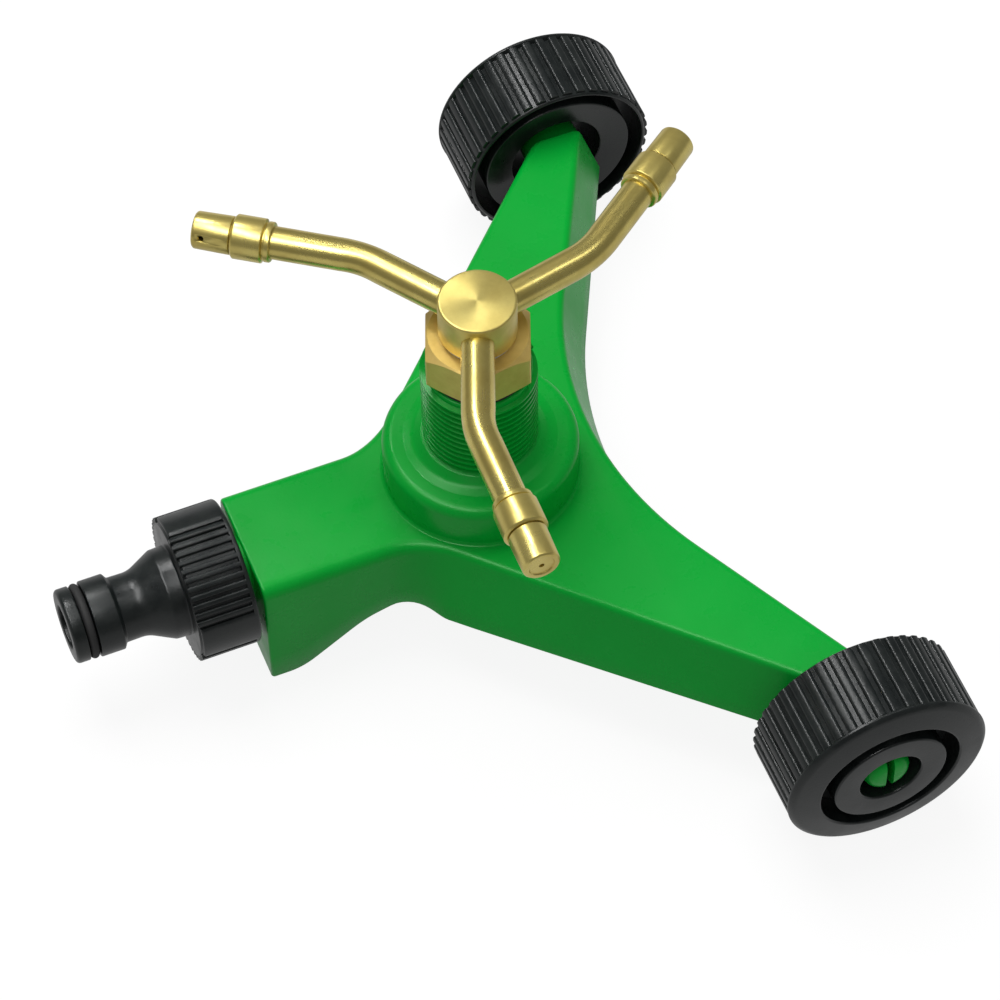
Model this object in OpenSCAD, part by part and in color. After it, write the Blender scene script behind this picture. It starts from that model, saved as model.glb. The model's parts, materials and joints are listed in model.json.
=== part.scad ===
// Three-arm rotating sprinkler on a two-wheeled base, in millimetres, +Z up.
// The rotor's axis is the working axis of every module; place() then centres the whole part.

/* [Base] */
// Height of the base's flat top above the ground
top_z = 34.5; // [28:0.5:45]
// Distance from the rotor's axis to the inlet leg's end wall
inlet_len = 58; // [50:0.5:75]
// Width of the inlet leg
inlet_w = 29.6; // [26:0.2:36]
// Distance from the rotor's axis to the wheel axis, along X
axle_x = 54; // [45:0.5:65]
// Wall thickness of the moulded base
wall = 2.4; // [1.8:0.1:3.2]
// Outward lean of the wheel legs' side walls, in mm per mm of height
lean = 0.3; // [0:0.01:0.5]
// Radius of the round boss under the threaded riser
boss_r = 22.3; // [18:0.1:25]
// Height of the boss above the top
boss_h = 11.5; // [6:0.5:16]

/* [Threads] */
// Crest radius of the riser and inlet threads, G3/4 size
thread_r = 13.05; // [12:0.05:14]
// Depth of the threads
thread_d = 1.1; // [0.8:0.05:1.3]
// Pitch of the threads
thread_p = 1.82; // [1.4:0.01:2.4]

/* [Wheels] */
// Wheel diameter
wheel_d = 47.6; // [40:0.2:60]
// Wheel width
wheel_w = 22; // [14:0.5:26]
// Distance between the wheels' outer faces
track_w = 210.8; // [180:0.2:240]
// Number of tread ridges
ridge_n = 42; // [24:2:60]

/* [Rotor] */
// Height of the hub's flat top above the ground
hub_top_z = 94.9; // [85:0.1:110]
// Height of the hub's flat top above the riser's open end
rotor_h = 22.7; // [20:0.1:28]
// Depth of the arms' centre line below the hub's flat top
arm_depth = 5.5; // [5.1:0.1:6]
// Radius of the hub
hub_r = 8.7; // [7:0.1:11]
// Outer diameter of the arm tubes
tube_d = 7.4; // [6:0.1:7.6]
// Distance from the rotor's axis to the corner of the bend
arm_in = 30; // [24:0.5:40]
// Distance from the corner of the bend to the nozzle's end
arm_out = 37.9; // [30:0.1:50]
// Angle of the bend of the first, second and third arm
arm_bend = [20, 24.5, 20];
// Radius of the bend on the centre line
bend_r = 26; // [15:1:40]
// Direction of the first, second and third arm at rest, as bent and brazed
arm_turn = [-111.5, 12, 125.2];

/* [Inlet] */
// Height of the inlet's axis above the ground
inlet_z = 25.2; // [20:0.1:30]
// Diameter of the knurled ring
ring_d = 34; // [30:0.2:40]
// Length of the knurled ring
ring_len = 14.2; // [10:0.1:18]
// Diameter of the quick-connect tail
tail_d = 17.4; // [16:0.1:18]
// Distance from the ring to the tail's open end
tail_len = 26.6; // [22:0.1:32]

/* [Part] */
// Which node to show

/* [Hidden] */
$fn = 96;
eps = 0.01;                 // overlap that joins two pieces of one solid
over = 1;                   // how far a cut reaches past what it cuts
run_fit = 0.05;             // radial clearance of a shaft that turns in a hole
gap = 0.3;                  // clearance between separate bodies
far = 200;                  // longer than any cut

green = [0.01, 0.38, 0.05];
black = [0.035, 0.04, 0.042];
brass = [0.55, 0.47, 0.15];
fibre = [0.03, 0.03, 0.03];
nylon = [0.85, 0.85, 0.8];
steel = [0.6, 0.6, 0.62];

// base
bridge_r = 85;              // plan radius of the scallop between the wheel legs
bridge_x = 27;              // where that scallop crosses the X axis
bridge_a = 27.2;            // lean of the wheel leg's outer edge from the Y axis
bridge_out = 0.15;          // that edge stands this far out, so that it crosses the scallop
neck_r = 20;                // plan radius between the inlet leg and a wheel leg
neck_n = 6;                 // facets round that radius, less one
neck_a = 45.5;              // direction of the wheel leg's inner edge
neck_x = -20;               // where that edge meets the inlet leg's side
leg_gap = 0.4;              // clearance between a wheel leg's end and its wheel
top_t = 2.6;                // thickness of the top
foot_len = 7.6;             // length of the foot along the inlet leg
arch_x = -34.7;             // where the arch behind the foot ends
arch_z = 11;                // height of the arch
belly_z = 15;               // lower edge of the base around the boss
tail_z = 18;                // lower edge of the base at the wheels
duct_r = 6;                 // radius of the water way in the inlet leg
duct_t = 2.4;               // wall of the water way
sump_z = 16.5;              // underside of the chamber below the riser
bore_r = 9.7;               // radius of the riser's bore
edge_r = 2.5;               // rounding of the boss's shoulder
dish_h = 2;                 // rise from the boss's shoulder to the riser's foot
dish_rim = 1.4;             // width of the nearly flat band inside the shoulder
dish_w = 2.2;               // width of the dished foot round the riser
dish_lip = 0.4;             // gap between the dish's top and the thread's crests, in plan
rib_t = 2;                  // thickness of the stiffening ribs
rib_drop = 6;               // depth of the ribs below the top
rib_a = 56;                 // direction of the rib along a wheel leg
rib_first = 44;             // distance from the rotor's axis to the first cross rib
rib_step = 18;              // distance between cross ribs
rib_span = 60;              // length of a cross rib before the side walls end it
end_rib_y = 9;              // distance of the axle's rib from the leg's end
end_rib_h = 12;             // depth of the axle's rib

// wheel and axle
wheel_r = wheel_d / 2;
wheel_face = track_w / 2;
wheel_back = wheel_face - wheel_w;
leg_y = wheel_back - leg_gap;
groove_d = 0.7;             // depth of the tread's grooves
ridge_w = 2.4;
ridge_end = 2.2;            // distance from the wheel's leg side to the ridges' ends
lip_w = 2.6;                // width of the smooth lip at the wheel's outer side
lip_h = 0.2;                // height of the lip above the ridges
rim_edge = 0.8;
rim_flare = 1.1;            // the leg side's rim thins towards its edge over this depth
rim_slope = 2.2;            // the outer face slopes back by this much to the lip
rim_t = 2;                  // thickness of the rim at the leg side
face_w = 7.2;               // width of the rim at the outer side
pocket_w = 3.1;             // width of the ring pockets in both sides
back_rim_r = wheel_r - rim_t;
back_hub_r = back_rim_r - pocket_w;
back_hole_r = 11.5;
hub_in = 0.9;               // how far the hub stays inside the leg side's rim
hub_dish = 2;               // and inside it at the hole's edge
front_rim_r = wheel_r - face_w;
front_hub_r = front_rim_r - pocket_w;
front_hole_r = 7.3;
pocket_d = 7;               // depth of both pockets
shoulder_y = wheel_back + 8;
barb_y = wheel_face - 6;
axle_in = 3;                // how far the axle's root reaches into the leg's end
axle_r = 5;
shoulder_r = 7.2;
barb_r = 5.7;
barb_t = 1.2;
nose_r = 5.1;
nose_in = 2.2;              // distance from the wheel's face to the axle's nose
tip_r = 3.6;
tip_in = 0.3;               // how far the axle's tip stays inside the wheel's face
slit_w = 1.8;
slit_in = 3;                // distance from the axle's shoulder to the slit

// rotor
tube_r = tube_d / 2;
tube_bore = tube_r - 0.7;
lap = 0.05;                 // overlap of a tube's straight ends and its bend
riser_z = hub_top_z - rotor_h;
arm_z = hub_top_z - arm_depth;
hub_h = 10.4;
hub_z = hub_top_z - hub_h;
hub_edge = 0.6;
hub_roof = 1.6;             // thickness of the hub's closed top
chamber_r = 4.4;
chamber_z = arm_z - tube_r - 0.5;
stem_r = 4;
stem_bore = 2.7;
seal_t = 1;                 // thickness of the bushing's washer
seal_in = 0.25;             // how far the washer stays inside the hexagon's flats
thrust_t = 1;               // space for the upper thrust washer
hex_z = riser_z + seal_t;
hex_top = hub_z - thrust_t;
hex_r = 13.24;
hex_turn = -111.5;          // direction of one corner of the hexagon
hex_edge = 1.6;             // height of the chamfer on top of the hexagon
shank_r = 9.4;
shank_len = 11.2;           // length of the bushing inside the riser
shank_z = riser_z - shank_len;
washer_fit = 0.15;          // radial play of the thrust washers on the stem
low_washer_t = 1.7;
low_washer_r = 7;
clip_t = 1;
clip_r = 6.4;
clip_in = 0.8;              // depth of the clip's groove
clip_open = 4.4;            // width of the clip's mouth
clip_z = shank_z - gap - low_washer_t - clip_t;
stem_z = clip_z - 1.5;
collar_s = 21.6;            // from the corner of the bend to the collar
collar_len = 7.4;
collar_r = 5;
nozzle_r = 4.35;
nozzle_s = collar_s + collar_len;
nozzle_len = arm_out - nozzle_s;
nozzle_tail = 4.2;          // length of the nozzle inside the collar
nozzle_bore = 2.2;
nozzle_wall = 1.6;          // thickness of the nozzle's end
tube_seat = collar_len / 2 - 1;   // depth of the tube's seat in the collar
nozzle_in = 3.3;             // radius of the nozzle inside the collar
bead_r = 3.75;
groove_s = 1.6;             // distance from the collar's end to the groove for the bead
groove_w = 1.2;
orifice_r = 0.6;
side_s = 2.4;               // distance from the nozzle's end to its side hole
side_a = [160, 180, 205];   // direction of each nozzle's side hole

// inlet
ring_r = ring_d / 2;
ring_gap = 1.8;             // distance between the inlet leg's end and the ring
ring_x0 = -inlet_len - ring_gap;
ring_x1 = ring_x0 - ring_len;
tail_x = ring_x1 - tail_len;
tail_r = tail_d / 2;
spigot_len = 10.6;          // length of the inlet thread
spigot_x = ring_x0 - spigot_len;
seat_x = ring_x1 + 2;       // floor of the adapter's socket
tail_bore = 5.2;
tail_lip = 3.3;             // length of the tail's end lip
o_groove = 2.4;             // width and depth of the groove for the sealing ring
o_depth = 1.9;
o_ring_r = 1;
barrel_x = 11.4;            // the barrel behind the sealing ring ends here
waist_x = 12.2;             // and the locking waist starts here
waist_d = 1.1;
flare_in = 3.3;             // distance from the ring to the flare's widest point
flare_step = 2;
flare_out = 2;
ring_edge = 0.6;
knurl_a = 7.2;              // pitch of the ring's grip grooves, in degrees
knurl_n = 12;               // grooves in each of the three fields
knurl_w = 1;                // width of a groove
knurl_h = 0.6;              // depth of a groove
knurl_end = 2.6;            // distance from the ring's open end to the grooves
flange_t = 0.8;             // thickness of the strainer's flange

// placement: the base's box is centred on X
shift_x = -(tail_x + axle_x + wheel_r) / 2;
module place() { translate([shift_x, 0, 0]) children(); }
module along_x(x) { translate([x, 0, inlet_z]) rotate([0, 90, 0]) children(); }
module along_y(s, y) { translate([axle_x, s * y, wheel_r]) rotate([-90 * s, 0, 0]) children(); }

// A ring from radius a to radius b, h high, standing on the origin.
module ring(a, b, h) {
  rotate_extrude() translate([a, 0]) square([b - a, h]);
}

// ---------------------------------------------------------------- base

// Cutter for one leaning side wall: it stands off a line whose outward normal is local +X.
// t is how far the wall has moved inwards, up and out of the way of the outer skin.
function lean_at(z, k = 1) = (top_z - z) * lean * k;
module lean_block(t, from, to, k = 1) {
  rotate([90, 0, 0]) translate([0, 0, -to]) linear_extrude(to - from)
    polygon([[lean_at(top_z + over, k) - t, top_z + over], [lean_at(-over, k) - t, -over],
      [far, -over], [far, top_z + over]]);
}
module lean_cone(r, t) {
  translate([0, 0, -over])
    cylinder(r1 = r - lean_at(-over) + t, r2 = r - lean_at(top_z + over) + t, h = top_z + 2 * over);
}

// Plan of the base with leaning side walls, t inside the outer skin and up to height h.
// The wheel legs are mirror images, and facets round the neck turn and lean step by step.
module base_form(t, h) {
  neck_c = [neck_x - neck_r * tan(neck_a / 2), inlet_w / 2 + neck_r];
  difference() {
    translate([-inlet_len + t, -leg_y + t, 0])
      cube([inlet_len + axle_x + wheel_r, 2 * (leg_y - t), h]);
    translate([bridge_x + bridge_r, 0, 0]) lean_cone(bridge_r, t);
    for (s = [0, 1]) mirror([0, s, 0]) {
      translate([bridge_x + bridge_r, 0, 0]) rotate(-bridge_a)
        translate([-bridge_r + bridge_out, 0, 0]) lean_block(t, 0, far);
      translate(neck_c) intersection_for (k = [0 : neck_n]) rotate(90 + neck_a * k / neck_n)
        translate([-neck_r, 0, 0]) lean_block(t, -far, far, k / neck_n);
    }
  }
}

// Everything below the base's lower edge: the arch behind the foot and the rise to the wheels.
module underside_cut() {
  rotate([90, 0, 0]) translate([0, 0, -far / 2]) linear_extrude(far)
    polygon([[-inlet_len + foot_len, -over], [-inlet_len + foot_len, 0], [arch_x, arch_z],
      [neck_x, belly_z], [far, belly_z], [far, -over]]);
  rotate([90, 0, 90]) translate([0, 0, neck_x]) linear_extrude(far)
    polygon([[-leg_y - over, 0], [-leg_y - over, tail_z], [-boss_r, belly_z], [boss_r, belly_z],
      [leg_y + over, tail_z], [leg_y + over, 0]]);
}

// Thread drawn as closed rounds from height 0 to h, on a core that is left solid.
module thread(h) {
  rotate_extrude() polygon(concat([[0, 0], [thread_r - thread_d, 0]],
    [for (i = [0 : floor(h / thread_p) - 1], k = [0 : 3])
      [thread_r - (k == 0 || k == 3 ? thread_d : 0), (i + [0.12, 0.42, 0.58, 0.88][k]) * thread_p]],
    [[thread_r - thread_d, h], [0, h]]));
}

// Round boss, dished up to the foot of the riser.
module boss_form() {
  z = top_z + boss_h;
  rotate_extrude() polygon(concat([[0, top_z - over], [boss_r, top_z - over]],
    [for (a = [0 : 15 : 75]) [boss_r - edge_r + edge_r * cos(a), z - edge_r + edge_r * sin(a)]],
    [[boss_r - edge_r - dish_rim, z + 0.05 * dish_h], [thread_r + dish_w, z + 0.25 * dish_h],
      [thread_r + dish_lip, z + 0.85 * dish_h], [thread_r - thread_d, z + dish_h], [0, z + dish_h]]));
}

// Split snap axle on side s, standing out of the wheel leg's end.
module axle(s) {
  root = leg_y - axle_in;
  difference() {
    along_y(s, root) rotate_extrude() polygon([[0, 0], [shoulder_r, 0],
      [shoulder_r, shoulder_y - gap - root], [axle_r, shoulder_y - gap - root],
      [axle_r, barb_y + gap / 2 - root], [barb_r, barb_y + gap / 2 - root],
      [barb_r, barb_y + barb_t - root], [nose_r, wheel_face - nose_in - root],
      [tip_r, wheel_face - tip_in - root], [0, wheel_face - tip_in - root]]);
    along_y(s, shoulder_y + slit_in) translate([-slit_w / 2, -barb_r - over, 0])
      cube([slit_w, 2 * (barb_r + over), far]);
  }
}

// Stiffening ribs under one wheel leg, on side s.
module leg_ribs(s) {
  mirror([0, s < 0 ? 1 : 0, 0]) intersection() {
    union() {
      rotate(rib_a) translate([bore_r + over, -rib_t / 2, top_z - rib_drop])
        cube([far, rib_t, rib_drop - over]);
      for (d = [rib_first : rib_step : leg_y]) rotate(rib_a)
        translate([d, -rib_span / 2, top_z - rib_drop]) cube([rib_t, rib_span, rib_drop - over]);
      translate([axle_x - shoulder_r, leg_y - end_rib_y, top_z - end_rib_h])
        cube([2 * shoulder_r, rib_t, end_rib_h - over]);
    }
    base_form(wall / 2, top_z - over);
  }
}

module base_shell() {
  color(green) place() difference() {
    union() {
      difference() {
        base_form(0, top_z);
        intersection() {
          base_form(wall, top_z - top_t);
          translate([-far, -far, -over]) cube([2 * far, 2 * far, top_z + over - top_t]);
        }
        underside_cut();
      }
      for (s = [-1, 1]) { leg_ribs(s); axle(s); }
      boss_form();
      translate([0, 0, sump_z]) cylinder(r = bore_r + duct_t, h = riser_z - thread_p - sump_z);
      translate([0, 0, top_z + boss_h + 0.8 * dish_h]) thread(riser_z - top_z - boss_h - 0.8 * dish_h);
      along_x(spigot_x) thread(ring_x0 - spigot_x);
      along_x(ring_x0 - eps) cylinder(r = duct_r + duct_t, h = -bore_r - ring_x0 + eps);
    }
    translate([0, 0, sump_z + duct_t]) cylinder(r = bore_r, h = far);
    along_x(spigot_x - over) cylinder(r = duct_r, h = -spigot_x + over);
  }
}

// ---------------------------------------------------------------- hex bushing and rotor

module hex_bushing() {
  color(brass) place() difference() {
    intersection() {
      union() {
        translate([0, 0, hex_z]) rotate(hex_turn) cylinder(r = hex_r, h = hex_top - hex_z, $fn = 6);
        translate([0, 0, shank_z]) cylinder(r = shank_r, h = hex_z - shank_z + eps);
      }
      union() {
        cylinder(r = hex_r, h = hex_top - hex_edge);
        translate([0, 0, hex_top - hex_edge - eps])
          cylinder(r1 = hex_r, r2 = hex_r - 1.3 * hex_edge, h = hex_edge + 2 * eps);
      }
    }
    translate([0, 0, shank_z - over]) cylinder(r = stem_r + run_fit, h = far);
  }
}

module bushing_washer() {
  color(fibre) place() translate([0, 0, riser_z])
    ring(shank_r + 0.2, hex_r * cos(30) - seal_in, seal_t);
}

module rotor_hub() {
  color(brass) place() difference() {
    union() {
      translate([0, 0, hub_z]) cylinder(r = hub_r, h = hub_h - hub_edge);
      translate([0, 0, hub_top_z - hub_edge - eps])
        cylinder(r1 = hub_r, r2 = hub_r - hub_edge, h = hub_edge + eps);
      translate([0, 0, stem_z]) cylinder(r = stem_r, h = hub_z - stem_z + eps);
    }
    translate([0, 0, stem_z - over]) cylinder(r = stem_bore, h = chamber_z - stem_z + over + eps);
    translate([0, 0, chamber_z]) cylinder(r = chamber_r, h = hub_top_z - hub_roof - chamber_z);
    translate([0, 0, clip_z - run_fit]) ring(stem_r - clip_in, stem_r + over, clip_t + 2 * run_fit);
    for (a = arm_turn) translate([0, 0, arm_z]) rotate([0, 90, a]) cylinder(r = tube_r, h = far);
  }
}

module upper_thrust_washer() {
  color(nylon) place() translate([0, 0, hex_top + run_fit]) 
    ring(stem_r + washer_fit, hub_r - hub_edge, thrust_t - 2 * run_fit);
}

module lower_thrust_washer() {
  color(nylon) place() translate([0, 0, clip_z + clip_t])
    ring(stem_r + washer_fit, low_washer_r, low_washer_t);
}

// Open spring clip seated in the groove at the stem's foot.
module retaining_clip() {
  color(steel) place() translate([0, 0, clip_z]) difference() {
    ring(stem_r - clip_in, clip_r, clip_t);
    translate([0, -clip_open / 2, -over]) cube([far, clip_open, clip_t + 2 * over]);
  }
}

// One bent tube, its inner end brazed in the hub: straight, bend, straight.
module arm_place(i) { place() translate([0, 0, arm_z]) rotate(arm_turn[i]) children(); }
module arm_tube(i) {
  tan_len = bend_r * tan(arm_bend[i] / 2);
  color(brass) arm_place(i) {
    rotate([0, 90, 0]) translate([0, 0, chamber_r + 0.2])
      ring(tube_bore, tube_r, arm_in - tan_len - chamber_r - 0.2 + lap);
    translate([arm_in - tan_len, bend_r, 0]) rotate(-90) rotate_extrude(angle = arm_bend[i])
      translate([bend_r, 0]) difference() { circle(r = tube_r - eps); circle(r = tube_bore + eps); }
    translate([arm_in, 0, 0]) rotate([0, 90, arm_bend[i]]) translate([0, 0, tan_len - lap])
      ring(tube_bore, tube_r, collar_s + tube_seat - tan_len + lap);
  }
}
module arm_tube_1() { arm_tube(0); }
module arm_tube_2() { arm_tube(1); }
module arm_tube_3() { arm_tube(2); }

// Places a turned piece on the outer end of arm i, its base s from the bend's corner.
module on_arm(i, s) {
  arm_place(i) translate([arm_in, 0, 0]) rotate([0, 90, arm_bend[i]]) translate([0, 0, s]) children();
}

// Sleeve brazed on the tube: a blind seat for the tube, then a grooved seat for the nozzle.
module nozzle_collar(i) {
  color(brass) on_arm(i, collar_s) rotate_extrude() polygon([[tube_r, 0], [collar_r - 0.5, 0],
    [collar_r, 0.6], [collar_r, collar_len - 0.4], [collar_r - 0.4, collar_len],
    [nozzle_in + run_fit, collar_len], [nozzle_in + run_fit, collar_len - groove_s],
    [bead_r + run_fit, collar_len - groove_s], [bead_r + run_fit, collar_len - groove_s - groove_w],
    [nozzle_in + run_fit, collar_len - groove_s - groove_w], [nozzle_in + run_fit, tube_seat],
    [tube_r, tube_seat]]);
}
module nozzle_collar_1() { nozzle_collar(0); }
module nozzle_collar_2() { nozzle_collar(1); }
module nozzle_collar_3() { nozzle_collar(2); }

// Turned nozzle: snap bead in the collar's groove, one small hole in the end and one in the side.
module nozzle_tip(i) {
  color(brass) on_arm(i, nozzle_s) difference() {
    rotate_extrude() polygon([[nozzle_bore, -nozzle_tail], [nozzle_in, -nozzle_tail],
      [nozzle_in, 0.1 - groove_s - groove_w], [bead_r, 0.3 - groove_s - groove_w],
      [bead_r, -groove_s - 0.2], [nozzle_in, -groove_s - 0.1], [nozzle_in, gap],
      [nozzle_r - 0.3, gap], [nozzle_r, gap + 0.3], [nozzle_r - 0.15, nozzle_len - 0.5],
      [nozzle_r - 0.65, nozzle_len], [0, nozzle_len], [0, nozzle_len - nozzle_wall],
      [nozzle_bore, nozzle_len - nozzle_wall]]);
    cylinder(r = orifice_r, h = far, $fn = 24);
    translate([0, 0, nozzle_len - side_s]) rotate([90, 0, side_a[i]])
      cylinder(r = orifice_r, h = far, $fn = 24);
  }
}
module nozzle_tip_1() { nozzle_tip(0); }
module nozzle_tip_2() { nozzle_tip(1); }
module nozzle_tip_3() { nozzle_tip(2); }

// ---------------------------------------------------------------- wheels

// One-piece wheel on side s: ridged rim and hub, joined by a web between two ring pockets.
module wheel(s) {
  crest_r = wheel_r - lip_h;
  core_r = wheel_r - groove_d;
  color(black) place() along_y(s, wheel_back) union() {
    rotate_extrude() polygon([[axle_r + run_fit, shoulder_y - wheel_back],
      [back_hole_r, shoulder_y - wheel_back], [back_hole_r, hub_dish], [back_hub_r, hub_in],
      [back_hub_r, pocket_d], [back_rim_r, pocket_d], [back_rim_r, rim_flare],
      [core_r - rim_edge, 0], [core_r, rim_edge], [core_r, wheel_w - lip_w],
      [wheel_r, wheel_w - lip_w], [wheel_r, wheel_w - rim_slope],
      [wheel_r - rim_edge, wheel_w - 0.5 * rim_slope], [front_rim_r, wheel_w],
      [front_rim_r, wheel_w - pocket_d], [front_hub_r, wheel_w - pocket_d], [front_hub_r, wheel_w],
      [front_hole_r, wheel_w], [front_hole_r, barb_y - wheel_back],
      [axle_r + run_fit, barb_y - wheel_back]]);
    for (i = [0 : ridge_n - 1]) rotate(i * 360 / ridge_n)
      translate([core_r - groove_d, -ridge_w / 2, ridge_end])
        cube([crest_r - core_r + groove_d, ridge_w, wheel_w - ridge_end - lip_w + lip_h]);
  }
}
module front_wheel() { wheel(-1); }
module rear_wheel() { wheel(1); }

// ---------------------------------------------------------------- inlet

// Hose adapter: knurled ring over the inlet thread, waist, and quick-connect tail.
module hose_adapter() {
  flare = [for (k = [3 : -1 : 0]) tail_len - flare_in - k * flare_step];
  o_end = tail_lip + o_groove;
  color(black) place() difference() {
    union() {
      along_x(ring_x1) rotate_extrude() polygon([[0, 0], [ring_r - ring_edge, 0],
        [ring_r, ring_edge], [ring_r, ring_len - ring_edge], [ring_r - ring_edge, ring_len],
        [0, ring_len]]);
      along_x(tail_x) rotate_extrude() polygon([[0, 0], [tail_r - 0.8, 0], [tail_r, 0.8],
        [tail_r, tail_lip - 0.1], [tail_r - o_depth, tail_lip + 0.1],
        [tail_r - o_depth, o_end - 0.1],
        [tail_r + 0.2, o_end + 0.1], [tail_r + 0.2, barrel_x], [tail_r - waist_d, waist_x],
        [tail_r - waist_d, flare[0]], [tail_r - waist_d + 0.3 * flare_out, flare[1]],
        [tail_r - waist_d + 0.9 * flare_out, flare[2]], [tail_r + flare_out, flare[3]],
        [tail_r + flare_out, tail_len + over], [0, tail_len + over]]);
    }
    for (p = [0 : 2], i = [0 : knurl_n - 1])
      along_x(ring_x1 - over) rotate(p * 120 + 90 + (i + 0.5 - knurl_n / 2) * knurl_a)
        translate([ring_r - knurl_h, -knurl_w / 2, 0])
          cube([knurl_h + over, knurl_w, ring_len + over - knurl_end]);
    along_x(tail_x - over) cylinder(r = tail_bore, h = far);
    along_x(seat_x) cylinder(r = thread_r + gap, h = far);
  }
}

module adapter_o_ring() {
  color(fibre) place() along_x(tail_x + tail_lip + o_groove / 2)
    rotate_extrude() translate([tail_r - o_depth + o_ring_r, 0]) circle(r = o_ring_r);
}

module inlet_washer() {
  color(fibre) place() along_x(seat_x) ring(duct_r + 1.6, thread_r, spigot_x - seat_x);
}

// Strainer cup: its flange is held between the socket's floor and the inlet's end, inside the washer.
module inlet_filter() {
  cup_len = 9;
  slot_p = 2.6;
  slot_w = 1;
  color(nylon) place() difference() {
    union() {
      along_x(spigot_x - flange_t) ring(duct_r - 1.6, duct_r + 1.3, flange_t);
      along_x(spigot_x - flange_t) ring(duct_r - 1.6, duct_r - gap, cup_len);
      along_x(spigot_x - flange_t + cup_len - eps) cylinder(r = duct_r - gap, h = 1.2);
    }
    for (i = [-1 : 1]) translate([spigot_x + cup_len - 3, i * slot_p - slot_w / 2, inlet_z - far / 2])
      cube([far, slot_w, far]);
  }
}

base_shell();
hex_bushing();
bushing_washer();
rotor_hub();
upper_thrust_washer();
lower_thrust_washer();
retaining_clip();
arm_tube_1();
arm_tube_2();
arm_tube_3();
nozzle_collar_1();
nozzle_collar_2();
nozzle_collar_3();
nozzle_tip_1();
nozzle_tip_2();
nozzle_tip_3();
front_wheel();
rear_wheel();
hose_adapter();
adapter_o_ring();
inlet_washer();
inlet_filter();
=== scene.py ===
import json
import math

import bmesh
import bpy
from mathutils import Matrix, Vector


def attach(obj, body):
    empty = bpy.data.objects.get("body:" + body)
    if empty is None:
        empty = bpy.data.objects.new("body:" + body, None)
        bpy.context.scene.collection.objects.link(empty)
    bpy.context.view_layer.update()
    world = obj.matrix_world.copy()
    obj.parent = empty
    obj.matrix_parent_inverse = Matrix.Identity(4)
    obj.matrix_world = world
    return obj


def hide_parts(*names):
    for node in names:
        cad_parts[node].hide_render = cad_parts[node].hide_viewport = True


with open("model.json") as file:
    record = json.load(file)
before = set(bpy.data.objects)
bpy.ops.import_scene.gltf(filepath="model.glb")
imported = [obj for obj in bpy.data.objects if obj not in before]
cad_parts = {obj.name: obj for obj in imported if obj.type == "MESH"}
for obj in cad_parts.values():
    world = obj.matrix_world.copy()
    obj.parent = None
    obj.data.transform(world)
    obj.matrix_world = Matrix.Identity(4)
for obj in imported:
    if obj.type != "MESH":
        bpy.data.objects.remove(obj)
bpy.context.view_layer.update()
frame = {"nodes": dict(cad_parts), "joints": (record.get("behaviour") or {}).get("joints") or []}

MM = 0.001

# ---------------------------------------------------------------- base moulding
# The base is one glossy green injection moulding: a hollow, downward-open body with an inlet
# leg and two wheel legs. Its walls have a generous rounded upper edge, and the wheel legs'
# walls lean outwards as draft, so that the moulding leaves its tool.

spin_axis = Vector(next(j["pos_m"] for j in frame["joints"] if j["name"] == "rotor_spin"))
CENTRE = Matrix.Translation((spin_axis.x, spin_axis.y, 0.0))

BODY_TOP = 34.5
BODY_WALL = 2.4
INLET_END = -58.0
INLET_HALF = 14.8
NECK_RADIUS = 20.0
NECK_TURN = math.radians(45.5)
NECK_CENTRE = (-20.0 - NECK_RADIUS * math.tan(NECK_TURN / 2), INLET_HALF + NECK_RADIUS)
LEG_END = 83.0
LEG_TURN = math.radians(27.2)
SCALLOP_RADIUS = 85.0
SCALLOP_CENTRE = (27.0 + SCALLOP_RADIUS, 0.0)
DRAFT = 0.3
EDGE_INLET = 3.0
EDGE_LEG = 1.9
EDGE_END = 0.5
CORNER_FILLET = 0.7
LEG_FILLET = 3.4


def between(a, b, t):
    """The value a fraction t of the way from a to b."""
    return a + (b - a) * t


def eased(t):
    t = min(max(t, 0.0), 1.0)
    return t * t * (3 - 2 * t)


def edge_reach(depth, edge, draft):
    """How far a wall stands out at a depth below the top: a rounded edge, then a drafted wall."""
    lean = math.atan(draft)
    inset = edge * math.tan((math.pi / 2 - lean) / 2)
    if depth < edge * (1 - math.sin(lean)):
        return edge * math.sin(math.acos(1 - depth / edge)) - inset
    return draft * depth


def corner_arc(corner, toward_a, toward_b, radius, steps):
    """Points of a fillet in the corner between two directions, from side a to side b."""
    a = Vector(toward_a).normalized()
    b = Vector(toward_b).normalized()
    half = a.angle(b) / 2
    centre = Vector(corner) + (a + b).normalized() * (radius / math.sin(half))
    start = Vector(corner) + a * (radius / math.tan(half)) - centre
    end = Vector(corner) + b * (radius / math.tan(half)) - centre
    points = []
    for i in range(steps + 1):
        t = i / steps
        ray = start.lerp(end, t).normalized() * radius
        points.append(tuple(centre + ray))
    return points


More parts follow.
